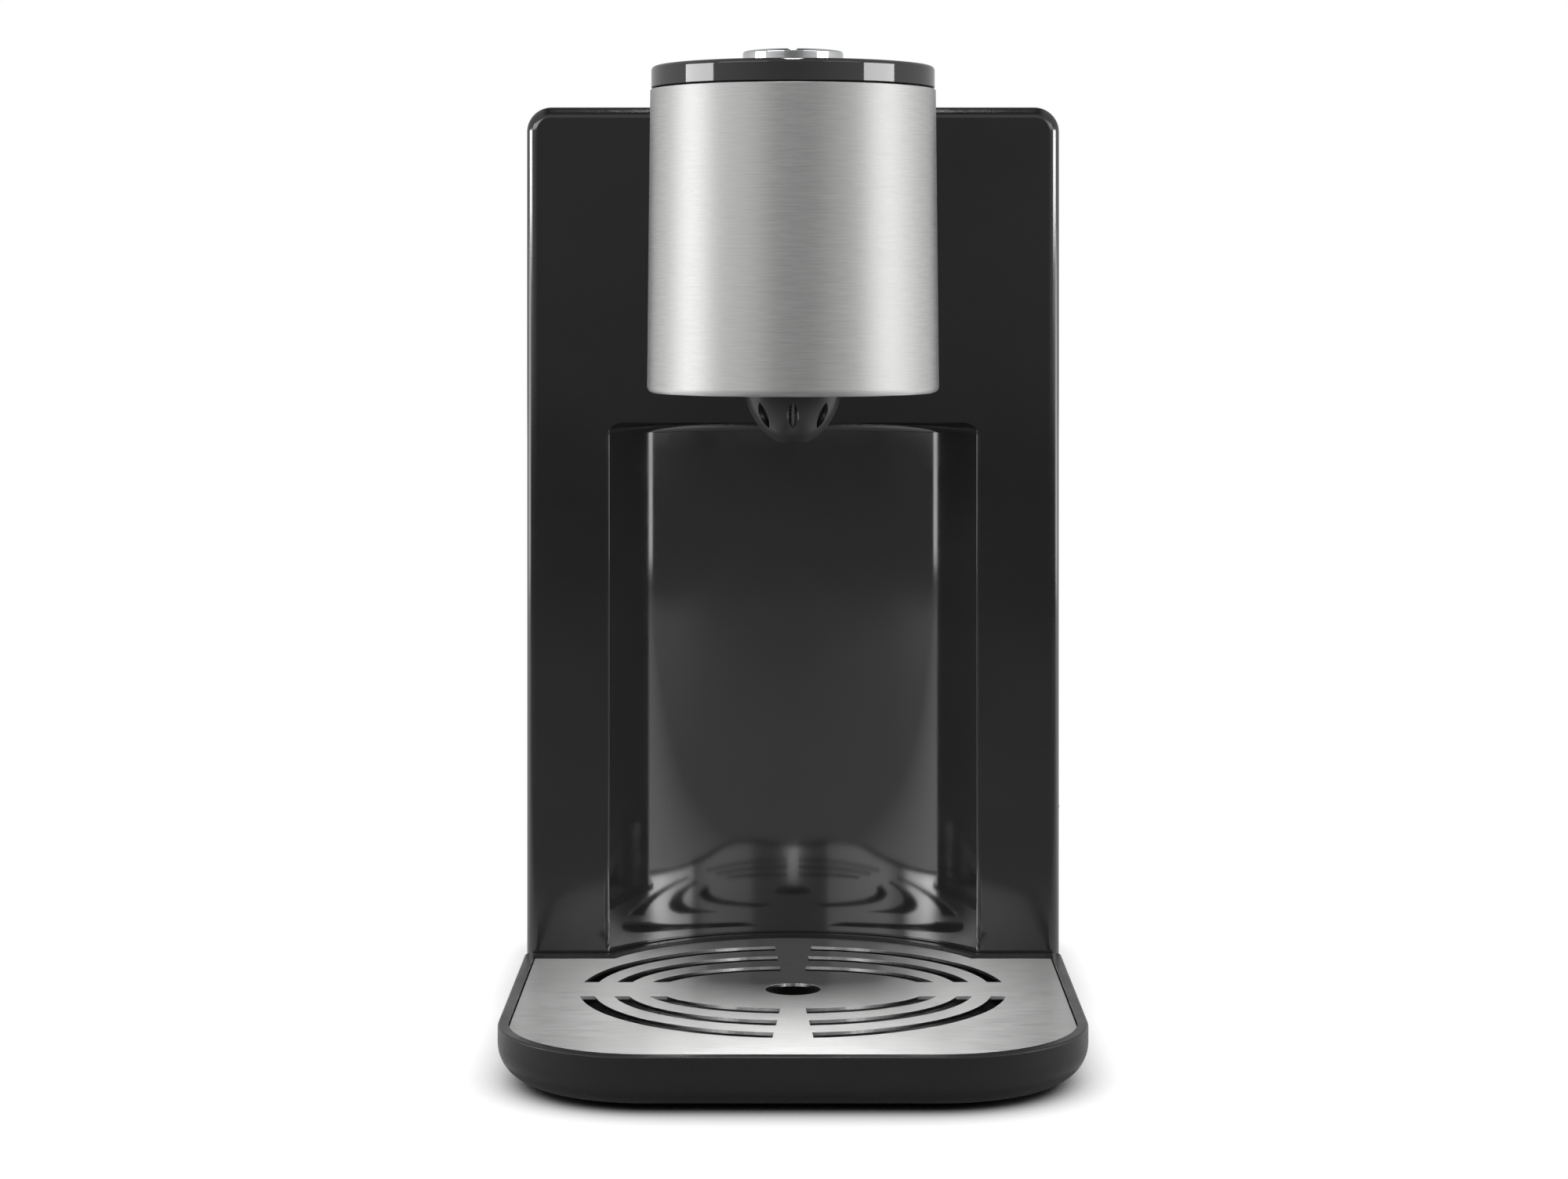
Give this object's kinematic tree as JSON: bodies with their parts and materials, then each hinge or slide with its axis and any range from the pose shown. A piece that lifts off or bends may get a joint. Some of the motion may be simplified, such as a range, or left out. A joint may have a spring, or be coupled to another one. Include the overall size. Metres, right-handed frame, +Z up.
{
  "type": "instant hot water dispenser",
  "caption": "Countertop instant hot water dispenser with a round steel head, turn-and-press knob, cup alcove, drip tray and a lift-off water tank behind.",
  "frame": {"origin": "bottom centre of the whole part, on the surface that the feet stand on", "axes": "+Z up; -Y is the front, with the spout, knob and drip tray; +X is to the right of someone who faces the front"},
  "size_m": [0.175, 0.262, 0.3037],
  "materials": {
    "gloss_black": "gloss",
    "satin_black": "satin",
    "brushed_steel": "brushed",
    "chrome": "polished",
    "spout_grey": "satin",
    "smoke_plastic": "clear, smoke tint",
    "rubber": "matte",
    "silicone": "satin",
    "natural_plastic": "satin",
    "plain_steel": "drawn",
    "circuit_green": "satin"
  },
  "bodies": {
    "frame": {"front_housing": "gloss_black", "rear_cover": "satin_black", "base_plate": "satin_black", "foot_front_left": "rubber", "foot_front_right": "rubber", "foot_rear_left": "rubber", "foot_rear_right": "rubber", "rear_screw_1": "plain_steel", "rear_screw_2": "plain_steel", "rear_screw_3": "plain_steel", "rear_screw_4": "plain_steel", "base_screw_1": "plain_steel", "base_screw_2": "plain_steel", "base_screw_3": "plain_steel", "base_screw_4": "plain_steel", "neck_screw_1": "plain_steel", "neck_screw_2": "plain_steel", "head_sleeve": "brushed_steel", "head_carrier": "satin_black", "head_bottom": "satin_black", "spout_shroud": "spout_grey", "nozzle": "plain_steel", "nozzle_seal": "rubber", "control_ring": "gloss_black", "encoder_body": "satin_black", "control_board": "circuit_green", "power_switch": "satin_black", "tank_dock": "satin_black", "dock_seal": "rubber", "cord_grommet": "rubber", "pump": "satin_black", "pump_mount": "rubber", "flow_meter": "natural_plastic", "flow_meter_cover": "natural_plastic", "heater": "plain_steel", "heater_strap_left": "plain_steel", "heater_strap_right": "plain_steel", "thermal_fuse": "natural_plastic", "power_board": "circuit_green", "hose_dock_to_pump": "silicone", "hose_pump_to_meter": "silicone", "hose_meter_to_heater": "silicone", "hose_heater_to_nozzle": "silicone", "board_cable": "rubber"},
    "tray": {"drip_tray": "satin_black"},
    "grate": {"drip_grate": "brushed_steel"},
    "press_plunger": {"encoder_plunger": "natural_plastic", "knob_spring": "plain_steel"},
    "dial": {"knob": "chrome", "encoder_shaft": "plain_steel"},
    "switch_rocker": {"power_rocker": "gloss_black"},
    "tank": {"water_tank": "smoke_plastic", "valve_cap": "natural_plastic", "tank_strainer": "natural_plastic", "lid_pin": "plain_steel"},
    "lid": {"tank_lid": "satin_black"},
    "valve": {"valve_plunger": "natural_plastic", "valve_seal": "silicone", "valve_spring": "plain_steel"},
    "impeller": {"flow_impeller": "satin_black"}
  },
  "joints": [
    {"name": "tray_slide", "type": "slide", "parent": "frame", "child": "tray", "axis": [0, -1, 0], "range_m": [0, 0.18]},
    {"name": "grate_lift", "type": "slide", "parent": "tray", "child": "grate", "axis": [0, 0, 1], "range_m": [0, 0.12]},
    {"name": "knob_press", "type": "slide", "parent": "frame", "child": "press_plunger", "axis": [0, 0, -1], "range_m": [0, 0.0015], "stiffness_N_per_m": 1500, "springref_m": -0.001},
    {"name": "knob_turn", "type": "hinge", "parent": "press_plunger", "child": "dial", "pos_m": [-0.0013, -0.038, 0.3], "axis": [0, 0, 1], "continuous": true},
    {"name": "power_rock", "type": "hinge", "parent": "frame", "child": "switch_rocker", "pos_m": [0.0845, 0.051, 0.051], "axis": [0, 1, 0], "range_deg": [-13, 0]},
    {"name": "tank_lift", "type": "slide", "parent": "frame", "child": "tank", "axis": [0, 0, 1], "range_m": [0, 0.27]},
    {"name": "lid_hinge", "type": "hinge", "parent": "tank", "child": "lid", "pos_m": [-0.0013, 0.0785, 0.2873], "axis": [1, 0, 0], "range_deg": [0, 90]},
    {"name": "valve_travel", "type": "slide", "parent": "tank", "child": "valve", "axis": [0, 0, 1], "range_m": [0, 0.0015], "stiffness_N_per_m": 800, "springref_m": -0.003},
    {"name": "impeller_spin", "type": "hinge", "parent": "frame", "child": "impeller", "pos_m": [-0.0673, 0.0655, 0.112], "axis": [0, 1, 0], "continuous": true}
  ]
}
